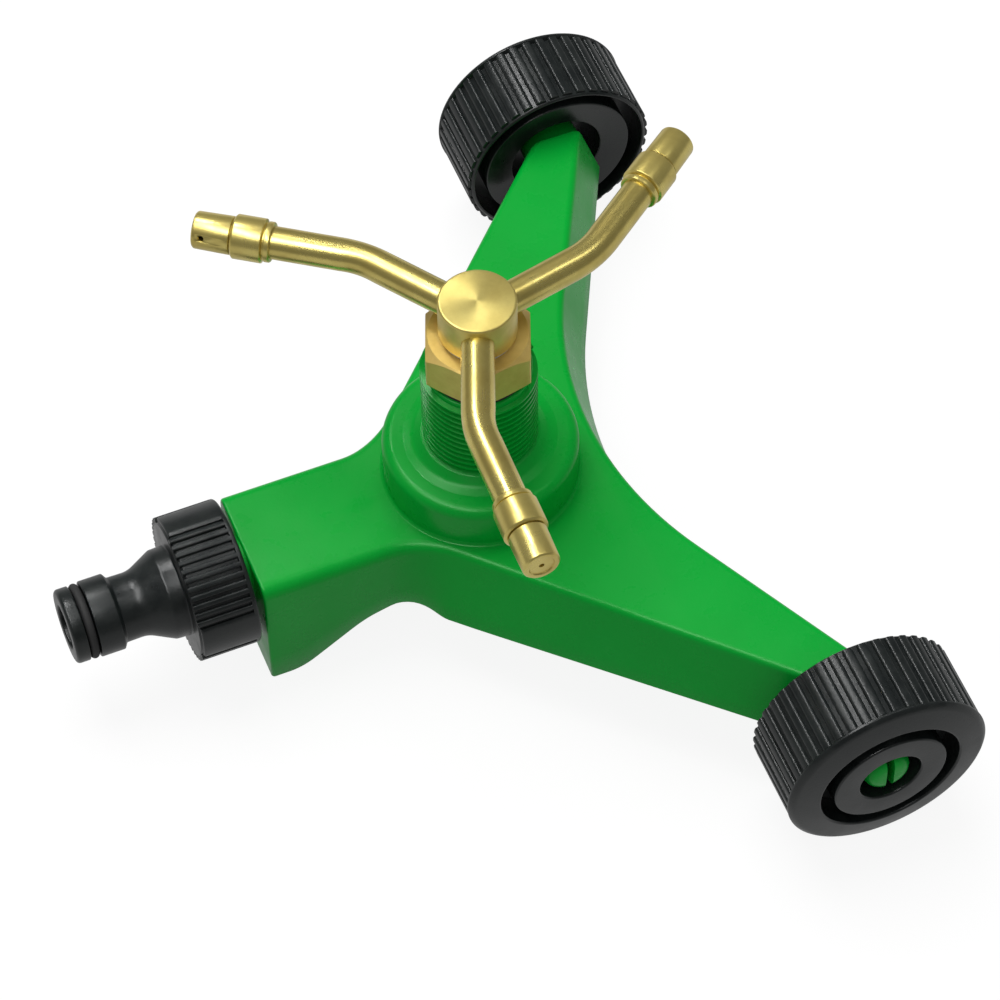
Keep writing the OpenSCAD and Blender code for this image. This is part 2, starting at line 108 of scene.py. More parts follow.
def body_outline(depth, inset=0.0):
    """Half of the body's plan on the +Y side, at a depth below the top and an inset inwards."""
    end_x = INLET_END - edge_reach(depth, EDGE_END, 0.0) + inset
    end_y = LEG_END + edge_reach(depth, EDGE_END, 0.0) - inset
    side = INLET_HALF + edge_reach(depth, EDGE_INLET, 0.0) - inset
    points = corner_arc((end_x, side), (0, -1), (1, 0), CORNER_FILLET, 4)
    for i in range(1, 30):
        t = i / 30
        reach = edge_reach(depth, EDGE_INLET, 0.0)
        points.append((between(INLET_END + 1.5, NECK_CENTRE[0], t), INLET_HALF + reach - inset))
    for i in range(13):
        t = i / 12
        turn = NECK_TURN * t
        edge = between(EDGE_INLET, EDGE_LEG, eased(t))
        radius = NECK_RADIUS - edge_reach(depth, edge, DRAFT * eased(t)) + inset
        points.append((NECK_CENTRE[0] + radius * math.sin(turn), NECK_CENTRE[1] - radius * math.cos(turn)))
    inner = points[-1]
    reach = edge_reach(depth, EDGE_LEG, DRAFT) - inset
    scallop = SCALLOP_RADIUS - reach
    outer = (SCALLOP_CENTRE[0] - scallop * math.cos(LEG_TURN), scallop * math.sin(LEG_TURN))
    inner_x = inner[0] + (end_y - inner[1]) / math.tan(NECK_TURN)
    outer_x = outer[0] + (end_y - outer[1]) * math.tan(LEG_TURN)
    for i in range(1, 12):
        points.append((between(inner[0], inner_x, i / 12.5), between(inner[1], end_y, i / 12.5)))
    down_inner = (-math.cos(NECK_TURN), -math.sin(NECK_TURN))
    down_outer = (-math.sin(LEG_TURN), -math.cos(LEG_TURN))
    points += corner_arc((inner_x, end_y), down_inner, (1, 0), LEG_FILLET, 8)
    points += corner_arc((outer_x, end_y), (-1, 0), down_outer, CORNER_FILLET, 4)
    for i in range(1, 12):
        points.append((between(outer_x, outer[0], i / 12), between(end_y, outer[1], i / 12)))
    for i in range(15):
        turn = LEG_TURN * (1 - i / 14)
        points.append((SCALLOP_CENTRE[0] - scallop * math.cos(turn), scallop * math.sin(turn)))
    return points


def bent_line(x, knots, blend):
    """A line through knots of (x, height), with each bend softened over a distance of blend."""
    height = knots[0][1]
    for (x0, y0), (x1, y1) in zip(knots, knots[1:]):
        if x >= x0:
            height = y0 + (y1 - y0) * (x - x0) / (x1 - x0)
    for (xa, ya), (xb, yb), (xc, yc) in zip(knots, knots[1:], knots[2:]):
        before = (yb - ya) / (xb - xa)
        after = (yc - yb) / (xc - xb)
        if abs(x - xb) < blend:
            height = yb + before * (x - xb) + (after - before) / (4 * blend) * (x - xb + blend) ** 2
    return height


def lower_edge(x, y):
    """Height of the body's lower edge: the foot and its arch, then the rise to the wheels."""
    arch = [(-70, 0), (-50.4, 0), (-34.7, 11), (-20, 15), (60, 15)]
    legs = [(0, 15), (22.3, 15), (LEG_END, 18)]
    return bent_line(x, arch, 3.2) + bent_line(abs(y), legs, 6.0) - legs[0][1]


def skin(rings, closed_start=True, closed_end=True):
    """Vertices and faces of a skin over rings of equal length, each ring a closed loop."""
    verts = [p for ring in rings for p in ring]
    count = len(rings[0])
    faces = []
    for r in range(len(rings) - 1):
        for i in range(count):
            j = (i + 1) % count
            faces.append((r * count + i, r * count + j, (r + 1) * count + j, (r + 1) * count + i))
    if closed_start:
        faces.append(tuple(reversed(range(count))))
    if closed_end:
        faces.append(tuple(range((len(rings) - 1) * count, len(rings) * count)))
    return verts, faces


def new_mesh(name, parts, place=Matrix.Identity(4), crease=32):
    """An object from (vertices in mm, faces) parts, put in place. It keeps its points' places before
    that, or a part's third list, as an attribute for tool marks."""
    bm = bmesh.new()
    own = bm.verts.layers.float_vector.new("made")
    for part in parts:
        made = [bm.verts.new(place @ (Vector(v) * MM)) for v in part[0]]
        for vert, local in zip(made, part[-1] if len(part) > 2 else part[0]):
            vert[own] = local
        for face in part[1]:
            bm.faces.new([made[i] for i in face])
    bmesh.ops.remove_doubles(bm, verts=bm.verts, dist=1e-7)
    bmesh.ops.dissolve_degenerate(bm, edges=bm.edges, dist=1e-7)
    bmesh.ops.recalc_face_normals(bm, faces=bm.faces)
    mesh = bpy.data.meshes.new(name)
    bm.to_mesh(mesh)
    bm.free()
    mesh.shade_smooth()
    mesh.set_sharp_from_angle(angle=math.radians(crease))
    piece = bpy.data.objects.new(name, mesh)
    bpy.context.scene.collection.objects.link(piece)
    return piece


def finish_piece(piece, material, body, slot_name, *nodes):
    """Gives a piece its material and its place in the assembly."""
    piece.data.materials.clear()
    piece.data.materials.append(material)
    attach(piece, body)
    if nodes:
        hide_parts(*nodes)


def new_surface(name, colour, roughness, metallic=0.0):
    """A material with plain starting values, and its node tree, shader and object coordinates."""
    material = bpy.data.materials.new(name)
    material.use_nodes = True
    tree = material.node_tree
    shader = tree.nodes["Principled BSDF"]
    shader.inputs["Base Color"].default_value = (*colour, 1.0)
    shader.inputs["Roughness"].default_value = roughness
    shader.inputs["Metallic"].default_value = metallic
    coords = tree.nodes.new("ShaderNodeTexCoord").outputs["Object"]
    return material, tree, shader, coords


def noise_field(tree, coords, scale, detail=3.0, rough=0.5):
    """A noise pattern with features of about 1 / scale metres."""
    node = tree.nodes.new("ShaderNodeTexNoise")
    node.inputs["Scale"].default_value = scale
    node.inputs["Detail"].default_value = detail
    node.inputs["Roughness"].default_value = rough
    tree.links.new(coords, node.inputs["Vector"])
    return node.outputs["Fac"]


def remap(tree, value, low, high, out_low, out_high):
    """A value mapped from one range to another and held inside it."""
    node = tree.nodes.new("ShaderNodeMapRange")
    tree.links.new(value, node.inputs["Value"])
    for socket, number in zip(("From Min", "From Max", "To Min", "To Max"), (low, high, out_low, out_high)):
        node.inputs[socket].default_value = number
    return node.outputs["Result"]


def blend_colours(tree, factor, colour_a, colour_b):
    """Colour a where factor is 0 and colour b where it is 1. Each is a colour or a socket."""
    node = tree.nodes.new("ShaderNodeMix")
    node.data_type = "RGBA"
    tree.links.new(factor, node.inputs["Factor"])
    for socket, colour in ((node.inputs[6], colour_a), (node.inputs[7], colour_b)):
        if isinstance(colour, tuple):
            socket.default_value = (*colour, 1.0)
        else:
            tree.links.new(colour, socket)
    return node.outputs[2]


def bump(tree, shader, height, depth, strength=1.0, under=None):
    """Relief of the given depth in metres, over an earlier bump if there is one."""
    node = tree.nodes.new("ShaderNodeBump")
    node.inputs["Strength"].default_value = strength
    node.inputs["Distance"].default_value = depth
    tree.links.new(height, node.inputs["Height"])
    if under:
        tree.links.new(under, node.inputs["Normal"])
    tree.links.new(node.outputs["Normal"], shader.inputs["Normal"])
    return node.outputs["Normal"]


def maths(tree, operation, a, b=None):
    """One arithmetic step on sockets or numbers."""
    node = tree.nodes.new("ShaderNodeMath")
    node.operation = operation
    for socket, value in zip(node.inputs, (a, b)):
        if isinstance(value, (int, float)):
            socket.default_value = value
        elif value is not None:
            tree.links.new(value, socket)
    return node.outputs[0]


def green_moulding():
    """Glossy green polypropylene: even colour, faint flow marks, fine pits and a few rubbed spots."""
    material, tree, shader, coords = new_surface("green_plastic", (0.0005, 0.395, 0.034), 0.3)
    shader.inputs["Specular IOR Level"].default_value = 0.15
    flow = noise_field(tree, coords, 38.0, 2.0)
    share = remap(tree, flow, 0.35, 0.65, 0, 1)
    tone = blend_colours(tree, share, (0.0004, 0.38, 0.034), (0.0008, 0.41, 0.038))
    rub = noise_field(tree, coords, 140.0, 5.0, 0.62)
    tone = blend_colours(tree, remap(tree, rub, 0.70, 0.78, 0, 0.35), tone, (0.01, 0.46, 0.08))
    tree.links.new(tone, shader.inputs["Base Color"])
    tree.links.new(remap(tree, rub, 0.3, 0.75, 0.24, 0.36), shader.inputs["Roughness"])
    waves = bump(tree, shader, flow, 0.0005, 0.12)
    bump(tree, shader, noise_field(tree, coords, 1500.0, 2.0), 0.00004, 0.5, waves)
    return material


GREEN = green_moulding()

plan = body_outline(0.0)
lowest = [lower_edge(x, y) for x, y in plan]


def body_ring(level, inset):
    """A closed ring round the body. level(lowest height at a point) gives its height there."""
    heights = [level(low) for low in lowest]
    outlines = {h: body_outline(BODY_TOP - h, inset) for h in set(heights)}
    half = [(*outlines[h][i], h) for i, h in enumerate(heights)]
    other = [(x, -y, z) for x, y, z in reversed(half[:-1])]
    return list(reversed(half + other))


edge_depths = (0, 0.02, 0.08, 0.18, 0.34, 0.6, 0.95, 1.4, 2.0, 2.6, 3.2)
rings = [body_ring(lambda low, d=d: BODY_TOP - d, 0.0) for d in edge_depths]
for share in (0.25, 0.5, 0.75):
    rings.append(body_ring(lambda low, s=share: between(BODY_TOP - edge_depths[-1], low + 0.5, s), 0.0))
rings.append(body_ring(lambda low: low + 0.45, 0.0))
rings.append(body_ring(lambda low: low + 0.12, 0.12))
rings.append(body_ring(lambda low: low, 0.45))
rings.append(body_ring(lambda low: low, BODY_WALL - 0.4))
rings.append(body_ring(lambda low: low + 0.4, BODY_WALL))
for share in (0.33, 0.66, 1.0):
    rings.append(body_ring(lambda low, s=share: between(low + 0.4, BODY_TOP - 2.6, s), BODY_WALL))
base_body = new_mesh("base_body", [skin(rings)], CENTRE, 28)
finish_piece(base_body, GREEN, "base", "green_plastic", "base_shell")

# ---------------------------------------------------------------- boss, riser and water way
# A round boss rises from the body into the threaded riser, whose bore ends in a closed chamber
# inside the base. It is one moulding with the body; only its outside thread is cut helically.

BOSS_RADIUS = 22.3
BOSS_TOP = 46.0
RISER_TOP = 72.2
RISER_BORE = 9.7
THREAD_ROOT = 11.95
THREAD_DEPTH = 1.1
THREAD_PITCH = 1.82
CHAMBER_FLOOR = 16.5
DUCT_HEIGHT = 25.2
DUCT_RADIUS = 6.0


def filleted(points, steps=4):
    """A closed profile in which a point's third number is the radius that rounds its corner."""
    result = []
    for i, point in enumerate(points):
        if len(point) < 3:
            result.append(tuple(point))
            continue
        corner = Vector(point[:2])
        before = Vector(points[i - 1][:2]) - corner
        after = Vector(points[(i + 1) % len(points)][:2]) - corner
        result += corner_arc(corner, before, after, point[2], steps)
    return result


def turned(profile, count=96, closed=False):
    """A lathe skin round local Z from (radius, height) points, open at the axis or a closed ring."""
    points = list(profile) + ([profile[0]] if closed else [])
    rings = []
    for radius, height in points:
        turns = [2 * math.pi * i / count for i in range(count)]
        rings.append([(radius * math.cos(a), radius * math.sin(a), height) for a in turns])
    return skin(rings, False, False)


def along_x(x):
    """Places local Z along +X, from a point x on the inlet's axis."""
    start = Matrix.Translation(Vector((x, 0, DUCT_HEIGHT)) * MM)
    return CENTRE @ start @ Matrix.Rotation(math.pi / 2, 4, "Y")


def new_tree(name, sizes):
    """An empty Geometry Nodes tree with these named inputs and a geometry output."""
    tree = bpy.data.node_groups.new(name, "GeometryNodeTree")
    kinds = {int: "NodeSocketInt", float: "NodeSocketFloat"}
    for label, value in sizes.items():
        socket = tree.interface.new_socket(name=label, in_out="INPUT", socket_type=kinds[type(value)])
        socket.default_value = value
    tree.interface.new_socket(name="Material", in_out="INPUT", socket_type="NodeSocketMaterial")
    tree.interface.new_socket(name="Geometry", in_out="OUTPUT", socket_type="NodeSocketGeometry")
    return tree, tree.nodes.new("NodeGroupInput"), tree.nodes.new("NodeGroupOutput")


def step(tree, kind, inputs, **settings):
    """A node with its settings, and each named input linked to a socket or set to a value."""
    node = tree.nodes.new(kind)
    for key, value in settings.items():
        setattr(node, key, value)
    for key, value in inputs.items():
        socket = node.inputs[key]
        if isinstance(value, bpy.types.NodeSocket):
            tree.links.new(value, socket)
        else:
            socket.default_value = value
    return node


def end_tree(tree, source, ends, geometry):
    """Realizes the geometry, gives it the material input and sends it out."""
    real = step(tree, "GeometryNodeRealizeInstances", {"Geometry": geometry})
    coloured = step(tree, "GeometryNodeSetMaterial",
                    {"Geometry": real.outputs[0], "Material": source.outputs["Material"]})
    tree.links.new(coloured.outputs[0], ends.inputs["Geometry"])


def grown(name, tree, sizes, material):
    """The plain mesh that a Geometry Nodes tree grows with these input values, in mm."""
    holder = bpy.data.objects.new(name, bpy.data.meshes.new(name))
    bpy.context.scene.collection.objects.link(holder)
    modifier = holder.modifiers.new(name, "NODES")
    modifier.node_group = tree
    values = dict(sizes, Material=material)
    for item in tree.interface.items_tree:
        if item.item_type == "SOCKET" and item.in_out == "INPUT":
            modifier[item.identifier] = values[item.name]
    seen = holder.evaluated_get(bpy.context.evaluated_depsgraph_get())
    mesh = bpy.data.meshes.new_from_object(seen)
    holder.modifiers.clear()
    bpy.data.objects.remove(holder)
    verts = [tuple(v.co) for v in mesh.vertices]
    faces = [tuple(p.vertices) for p in mesh.polygons]
    bpy.data.meshes.remove(mesh)
    return verts, faces


def moved(part, matrix):
    """A (vertices, faces) part under a matrix whose lengths are in mm."""
    verts, faces = part
    return [tuple(matrix @ Vector(v)) for v in verts], faces


def thread_tree():
    """A helical thread: a tapered, flat-topped profile carried along a spiral, sunk at both its ends."""
    sizes = {"Root Radius": 1.0, "Pitch": 1.0, "Turns": 1.0, "Depth": 1.0}
    tree, source, ends = new_tree("helical_thread", sizes)
    get = source.outputs
    height = step(tree, "ShaderNodeMath", {0: get["Pitch"], 1: get["Turns"]}, operation="MULTIPLY")
    spiral = step(tree, "GeometryNodeCurveSpiral", {
        "Resolution": 72, "Rotations": get["Turns"], "Start Radius": get["Root Radius"],
        "End Radius": get["Root Radius"], "Height": height.outputs[0], "Reverse": False})
    upright = step(tree, "GeometryNodeSetCurveNormal", {"Curve": spiral.outputs[0]}, mode="Z_UP")
    along = step(tree, "GeometryNodeSplineParameter", {})
    from_end = step(tree, "ShaderNodeMath", {0: 1.0, 1: along.outputs["Factor"]}, operation="SUBTRACT")
    nearest = step(tree, "ShaderNodeMath", {0: along.outputs["Factor"], 1: from_end.outputs[0]},
                   operation="MINIMUM")
    fade = step(tree, "ShaderNodeMapRange", {"Value": nearest.outputs[0], "From Min": 0.0, "From Max": 0.03,
                                             "To Min": 0.15, "To Max": 1.0}, interpolation_type="SMOOTHSTEP")
    faded = step(tree, "GeometryNodeSetCurveRadius",
                 {"Curve": upright.outputs[0], "Radius": fade.outputs[0]})
    wide = step(tree, "ShaderNodeMath", {0: get["Pitch"], 1: 0.84}, operation="MULTIPLY")
    crest = step(tree, "ShaderNodeMath", {0: get["Pitch"], 1: 0.3}, operation="MULTIPLY")
    tall = step(tree, "ShaderNodeMath", {0: get["Depth"], 1: 2.0}, operation="MULTIPLY")
    profile = step(tree, "GeometryNodeCurvePrimitiveQuadrilateral", {
        "Height": tall.outputs[0], "Bottom Width": wide.outputs[0], "Top Width": crest.outputs[0],
        "Offset": 0.0}, mode="TRAPEZOID")
    turned_profile = step(tree, "GeometryNodeTransform",
                          {"Geometry": profile.outputs[0], "Rotation": (0.0, 0.0, math.pi / 2)})
    swept = step(tree, "GeometryNodeCurveToMesh", {
        "Curve": faded.outputs[0], "Profile Curve": turned_profile.outputs[0], "Fill Caps": True})
    end_tree(tree, source, ends, swept.outputs[0])
    return tree


THREAD = thread_tree()
riser_profile = filleted([
    (0, CHAMBER_FLOOR), (12.1, CHAMBER_FLOOR, 0.5), (12.1, 33.2), (24.0, 33.2), (24.0, 34.35),
    (BOSS_RADIUS, 34.56, 1.1), (BOSS_RADIUS, BOSS_TOP, 2.55), (17.4, 46.12, 1.2), (15.3, 46.75, 3.0),
    (13.5, 48.35, 0.6), (THREAD_ROOT, 48.7, 0.3), (THREAD_ROOT, RISER_TOP, 0.4), (RISER_BORE, RISER_TOP, 0.3),
    (RISER_BORE, CHAMBER_FLOOR + 2.4), (0, CHAMBER_FLOOR + 2.4)], 6)
riser_thread = grown("riser_thread", THREAD, {
    "Root Radius": THREAD_ROOT, "Pitch": THREAD_PITCH, "Turns": 12.0, "Depth": THREAD_DEPTH}, GREEN)
riser_thread = moved(riser_thread, Matrix.Translation((0, 0, 49.7)))
riser = new_mesh("boss_and_riser", [turned(riser_profile, 144), riser_thread],
                 CENTRE, 30)
finish_piece(riser, GREEN, "base", "green_plastic", "base_shell")

SPIGOT_END = -70.4
duct_profile = filleted([
    (DUCT_RADIUS, SPIGOT_END), (THREAD_ROOT, SPIGOT_END, 0.4), (THREAD_ROOT, -59.8, 0.3),
    (DUCT_RADIUS + 2.4, -59.8), (DUCT_RADIUS + 2.4, -10.2), (DUCT_RADIUS, -10.2)])
inlet_thread = grown("inlet_thread", THREAD, {
    "Root Radius": THREAD_ROOT, "Pitch": THREAD_PITCH, "Turns": 4.5, "Depth": THREAD_DEPTH}, GREEN)
inlet_thread = moved(inlet_thread, Matrix.Translation((0, 0, SPIGOT_END + 1.1)))
duct = new_mesh("water_way", [turned(duct_profile, 72, True), inlet_thread],
                along_x(0), 30)
finish_piece(duct, GREEN, "base", "green_plastic", "base_shell")

# ---------------------------------------------------------------- ribs under the legs
# Straight ribs, moulded under each wheel leg: one along the leg and three across it, and one
# that stiffens the wall behind the axle.

RIB_THICK = 2.0
RIB_TURN = math.radians(56)
half_plan = [Vector(p) for p in body_outline(0.0)]


def wall_hit(start, direction):
    """Distance from a point inside the leg's plan to its edge in a direction."""
    best = 500.0
    for a, b in zip(half_plan, half_plan[1:]):
        side = b - a
        cross = direction.x * side.y - direction.y * side.x
        if abs(cross) > 1e-9:
            gap = a - start
            t = (gap.x * side.y - gap.y * side.x) / cross
            u = (gap.x * direction.y - gap.y * direction.x) / cross
            if t > 0 and 0 <= u <= 1:
                best = min(best, t)
    return best


def rib(start, direction, low, both_ways=True):
    """A rib through a point: it runs to the walls, from a height up into the top."""
    start, direction = Vector(start), Vector(direction).normalized()
    side = Vector((-direction.y, direction.x)) * RIB_THICK / 2
    corners = []
    for point in (start - side, start + side):
        back = wall_hit(point, -direction) if both_ways else 0.0
        corners += [point - direction * back, point + direction * wall_hit(point, direction)]
    plan = [corners[0], corners[1], corners[3], corners[2]]
    levels = [(low, 0.25), (low + 0.25, 0.0), (BODY_TOP - 1.2, 0.0)]
    outward = [-side, -side, side, side]
    rings = [[tuple(p - o.normalized() * inset) + (z,) for p, o in zip(plan, outward)] for z, inset in levels]
    return skin(rings)


leg_way = Vector((math.cos(RIB_TURN), math.sin(RIB_TURN)))
rib_parts = [rib(leg_way * 11.0, leg_way, 28.5, False)]
for distance in (45, 63, 79.5):
    rib_parts.append(rib(leg_way * distance, (-leg_way.y, leg_way.x), 28.5))
rib_parts.append(rib((46, 73.5), (1, 0), 22.5))
mirror = Matrix.Diagonal((1, -1, 1, 1))
ribs = new_mesh("leg_ribs", rib_parts + [moved(part, mirror) for part in rib_parts], CENTRE)
finish_piece(ribs, GREEN, "base", "green_plastic", "base_shell")

# ---------------------------------------------------------------- axles
# Each wheel leg's end carries a moulded axle with a shoulder. Its end is split in two springy
# halves with a barb, which snap through the wheel and hold it.

WHEEL_FACE = 105.4
WHEEL_WIDTH = 22.0
WHEEL_BACK = WHEEL_FACE - WHEEL_WIDTH
SLIT_HALF = 0.9


def along_y(side, y):
    """Places local Z along the wheels' axis, away from the base, from a distance y."""
    return (CENTRE @ Matrix.Translation(Vector((54.0, side * y, 23.8)) * MM)
            @ Matrix.Rotation(-side * math.pi / 2, 4, "X"))


def prong(side, stations):
    """One half of the split end: D-shaped rings of (distance, radius) on one side of the slit."""
    rings = []
    for height, radius in stations:
        reach = math.acos(SLIT_HALF / radius)
        turns = [between(-reach, reach, i / 24) for i in range(25)]
        rings.append([(side * radius * math.cos(a), radius * math.sin(a), height) for a in turns])
    return skin(rings)


axle_profile = filleted([(0, 80.0), (7.2, 80.0), (7.2, WHEEL_BACK + 7.7, 0.5), (5.0, WHEEL_BACK + 7.7),
                         (5.0, 94.9), (0, 94.9)])
lobe = [(94.3, 5.0), (99.4, 5.0), (99.6, 5.5), (99.9, 5.7), (101.5, 5.65), (102.8, 5.45), (103.6, 5.15),
        (104.2, 4.7), (104.6, 4.2), (104.85, 3.6), (105.0, 2.9), (105.05, 2.0)]
for side in (-1, 1):
    axle = new_mesh("front_axle" if side < 0 else "rear_axle",
                    [turned(axle_profile, 64), prong(1, lobe), prong(-1, lobe)], along_y(side, 0), 35)
    finish_piece(axle, GREEN, "base", "green_plastic", "base_shell")

# ---------------------------------------------------------------- hex bushing
# A brass bushing, turned and milled, is screwed into the riser against a fibre washer. Its
# hexagon's corners are chamfered on the lathe above and below.

HEX_BOTTOM = 73.2
HEX_TOP = 83.5
HEX_RADIUS = 13.24
HEX_TURN = math.radians(-111.5)


def brass_surface(name, drawn, metallic=0.78, dull=0.0,
                  pale=(0.72, 0.60, 0.19), stained=(0.56, 0.44, 0.12)):
    """Raw brass with fine tool marks: along the tube where it is drawn, else round the axis."""
    material, tree, shader, coords = new_surface(name, (0.74, 0.64, 0.17), 0.3, metallic)
    made = tree.nodes.new("ShaderNodeAttribute")
    made.attribute_name = "made"
    stretch = tree.nodes.new("ShaderNodeMapping")
    tree.links.new(made.outputs["Vector"], stretch.inputs["Vector"])
    stretch.inputs["Scale"].default_value = (0.05, 2.2, 2.2) if drawn else (0.08, 0.08, 3.2)
    marks = noise_field(tree, stretch.outputs["Vector"], 1.0, 4.0)
    stain = noise_field(tree, coords, 120.0, 4.0, 0.6)
    tone = blend_colours(tree, remap(tree, stain, 0.38, 0.72, 0, 1), pale, stained)
    tree.links.new(tone, shader.inputs["Base Color"])
    rough = maths(tree, "ADD", remap(tree, stain, 0.3, 0.7, 0.26 + dull, 0.36 + dull),
                  remap(tree, marks, 0.3, 0.7, -0.02, 0.02))
    tree.links.new(rough, shader.inputs["Roughness"])
    bump(tree, shader, marks, 0.00003, 0.05 if drawn else 0.4)
    return material


BRASS_TURNED = brass_surface("brass_turned", False)
BRASS_DRAWN = brass_surface("brass_drawn", True, 0.86, -0.02)
BRASS_MILLED = brass_surface("brass_milled", False, 0.45, 0.08, (0.79, 0.57, 0.17), (0.61, 0.42, 0.10))

hex_outline = []
for i in range(6):
    a = HEX_TURN + i * math.pi / 3
    corner = Vector((math.cos(a), math.sin(a))) * HEX_RADIUS
    ahead = Vector((math.cos(a + math.pi / 3), math.sin(a + math.pi / 3))) * HEX_RADIUS
    behind = Vector((math.cos(a - math.pi / 3), math.sin(a - math.pi / 3))) * HEX_RADIUS
    hex_outline += corner_arc(corner, behind - corner, ahead - corner, 0.5, 3)
    after = Vector(hex_outline[-1])
    span = (ahead - corner) - (after - corner) * 2
    hex_outline += [tuple(after + span * k / 14) for k in range(1, 14)]
inner_way = [Vector(p).normalized() for p in hex_outline]
hex_rings = []
for level, slope in ((HEX_BOTTOM, 0.3), (HEX_TOP, -0.75)):
    at_edge = [level + slope * max(Vector(p).length - 11.1, 0) for p in hex_outline]
    flat = [(*(way * min(11.1, Vector(p).length - 0.05)), level) for p, way in zip(hex_outline, inner_way)]
    edge = [(*p, z) for p, z in zip(hex_outline, at_edge)]
    hex_rings += [flat, edge] if slope > 0 else [edge, flat]
shank = [[(*(way * 9.4), z) for way in inner_way] for z in (61.0, 72.9)]
bore = [[(*(way * 4.05), z) for way in inner_way] for z in (HEX_TOP, 61.0)]
neck = [[(*(way * r), z) for way in inner_way] for r, z in ((9.4, HEX_BOTTOM),)]
hex_skin = skin([*shank, *neck, *hex_rings, *bore, shank[0]], False, False)
hex_bushing = new_mesh("hex_bushing_turned", [hex_skin], CENTRE, 25)
finish_piece(hex_bushing, BRASS_MILLED, "base", "brass", "hex_bushing")


def rubber_surface():
    """Black fibre or rubber: matt, with fine grain."""
    material, tree, shader, coords = new_surface("black_rubber", (0.018, 0.018, 0.018), 0.75)
    grain = noise_field(tree, coords, 2500.0, 3.0)
    tone = blend_colours(tree, grain, (0.014, 0.014, 0.014), (0.026, 0.026, 0.026))
    tree.links.new(tone, shader.inputs["Base Color"])
    bump(tree, shader, grain, 0.00004, 0.5)
    return material


def repaint(material, *names):
    """Gives CAD nodes that keep their own shape a material."""
    for node_name in names:
        for material_slot in frame["nodes"][node_name].material_slots:
            material_slot.material = material


RUBBER = rubber_surface()
repaint(RUBBER, "bushing_washer")

# ---------------------------------------------------------------- rotor hub and its washers
# The hub is turned from brass with a hollow stem that runs down through the bushing, on a nylon
# washer, and is held there by a spring clip under a second washer.

HUB_RADIUS = 8.7
HUB_BOTTOM = 84.5
HUB_TOP = 94.9


def hub_surface():
    """The turned hub: its flat top reflects light in a wedge, as concentric tool marks do."""
    material = brass_surface("brass_hub", False, 0.7, 0.12)
    tree = material.node_tree
    shader = tree.nodes["Principled BSDF"]
    shader.inputs["Anisotropic"].default_value = 0.7
    place = tree.nodes.new("ShaderNodeVectorMath")
    place.operation = "SUBTRACT"
    tree.links.new(tree.nodes["Texture Coordinate"].outputs["Object"], place.inputs[0])
    place.inputs[1].default_value = (spin_axis.x, spin_axis.y, 0.0)
    round_axis = tree.nodes.new("ShaderNodeVectorMath")
    round_axis.operation = "CROSS_PRODUCT"
    round_axis.inputs[0].default_value = (0, 0, 1)
    tree.links.new(place.outputs[0], round_axis.inputs[1])
    tree.links.new(round_axis.outputs[0], shader.inputs["Tangent"])
    return material


hub_profile = filleted([(2.7, 56.5), (4.0, 56.5, 0.4), (4.0, HUB_BOTTOM), (HUB_RADIUS, HUB_BOTTOM, 0.5),
                        (HUB_RADIUS, HUB_TOP, 0.6), (0, HUB_TOP)])
hub_inside = [(0, 85.6), (2.7, 85.6)]
hub = new_mesh("rotor_hub_turned", [turned(hub_profile + hub_inside + [hub_profile[0]], 96)], CENTRE, 30)
finish_piece(hub, hub_surface(), "rotor", "brass", "rotor_hub")


def nylon_surface():
    """Natural nylon: off-white and waxy."""
    material, tree, shader, coords = new_surface("natural_nylon", (0.78, 0.77, 0.70), 0.45)
    shader.inputs["Subsurface Weight"].default_value = 0.1
    cloud = noise_field(tree, coords, 300.0, 3.0)
    tone = blend_colours(tree, cloud, (0.72, 0.71, 0.63), (0.83, 0.82, 0.76))
    tree.links.new(tone, shader.inputs["Base Color"])
    bump(tree, shader, cloud, 0.00003, 0.3)
    return material


def steel_surface():
    """Spring steel strip, rolled and oiled."""
    material, tree, shader, coords = new_surface("spring_steel", (0.5, 0.5, 0.52), 0.35, 1.0)
    cloud = noise_field(tree, coords, 700.0, 4.0)
    tree.links.new(remap(tree, cloud, 0.3, 0.7, 0.28, 0.5), shader.inputs["Roughness"])
    tone = blend_colours(tree, cloud, (0.42, 0.42, 0.45), (0.6, 0.6, 0.6))
    tree.links.new(tone, shader.inputs["Base Color"])
    return material


repaint(nylon_surface(), "upper_thrust_washer", "lower_thrust_washer", "inlet_filter")
repaint(steel_surface(), "retaining_clip")

# ---------------------------------------------------------------- arm tubes
# Three drawn brass tubes are brazed into the hub. Each is bent once, towards the same side, so
# that the water's push turns the rotor; the bend leaves a slight crease on its inside.

ARM_HEIGHT = 89.4
TUBE_RADIUS = 3.7
TUBE_BORE = 3.0
BEND_AT = 30.0
BEND_RADIUS = 26.0
BEND_TURNS = [math.radians(a) for a in (20, 24.5, 20)]
ARM_TURNS = [math.radians(a) for a in (-111.5, 12, 125.2)]
TUBE_END = 24.2


def tube_stations(bend):
    """Along the arm: point and direction in the arm's plane, how much it is bent, and the distance."""
    short = BEND_RADIUS * math.tan(bend / 2)
    stations = []
    for i in range(6):
        x = between(4.6, BEND_AT - short, i / 6)
        stations.append((Vector((x, 0)), 0.0, 0.0, x))
    for i in range(25):
        turn = bend * i / 24
        point = Vector((BEND_AT - short + BEND_RADIUS * math.sin(turn), BEND_RADIUS * (1 - math.cos(turn))))
        stations.append((point, turn, math.sin(math.pi * i / 24), BEND_AT - short + BEND_RADIUS * turn))
    way = Vector((math.cos(bend), math.sin(bend)))
    for i in range(1, 7):
        far = between(short, TUBE_END, i / 6)
        stations.append((Vector((BEND_AT, 0)) + way * far, bend, 0.0, BEND_AT + far))
    return stations


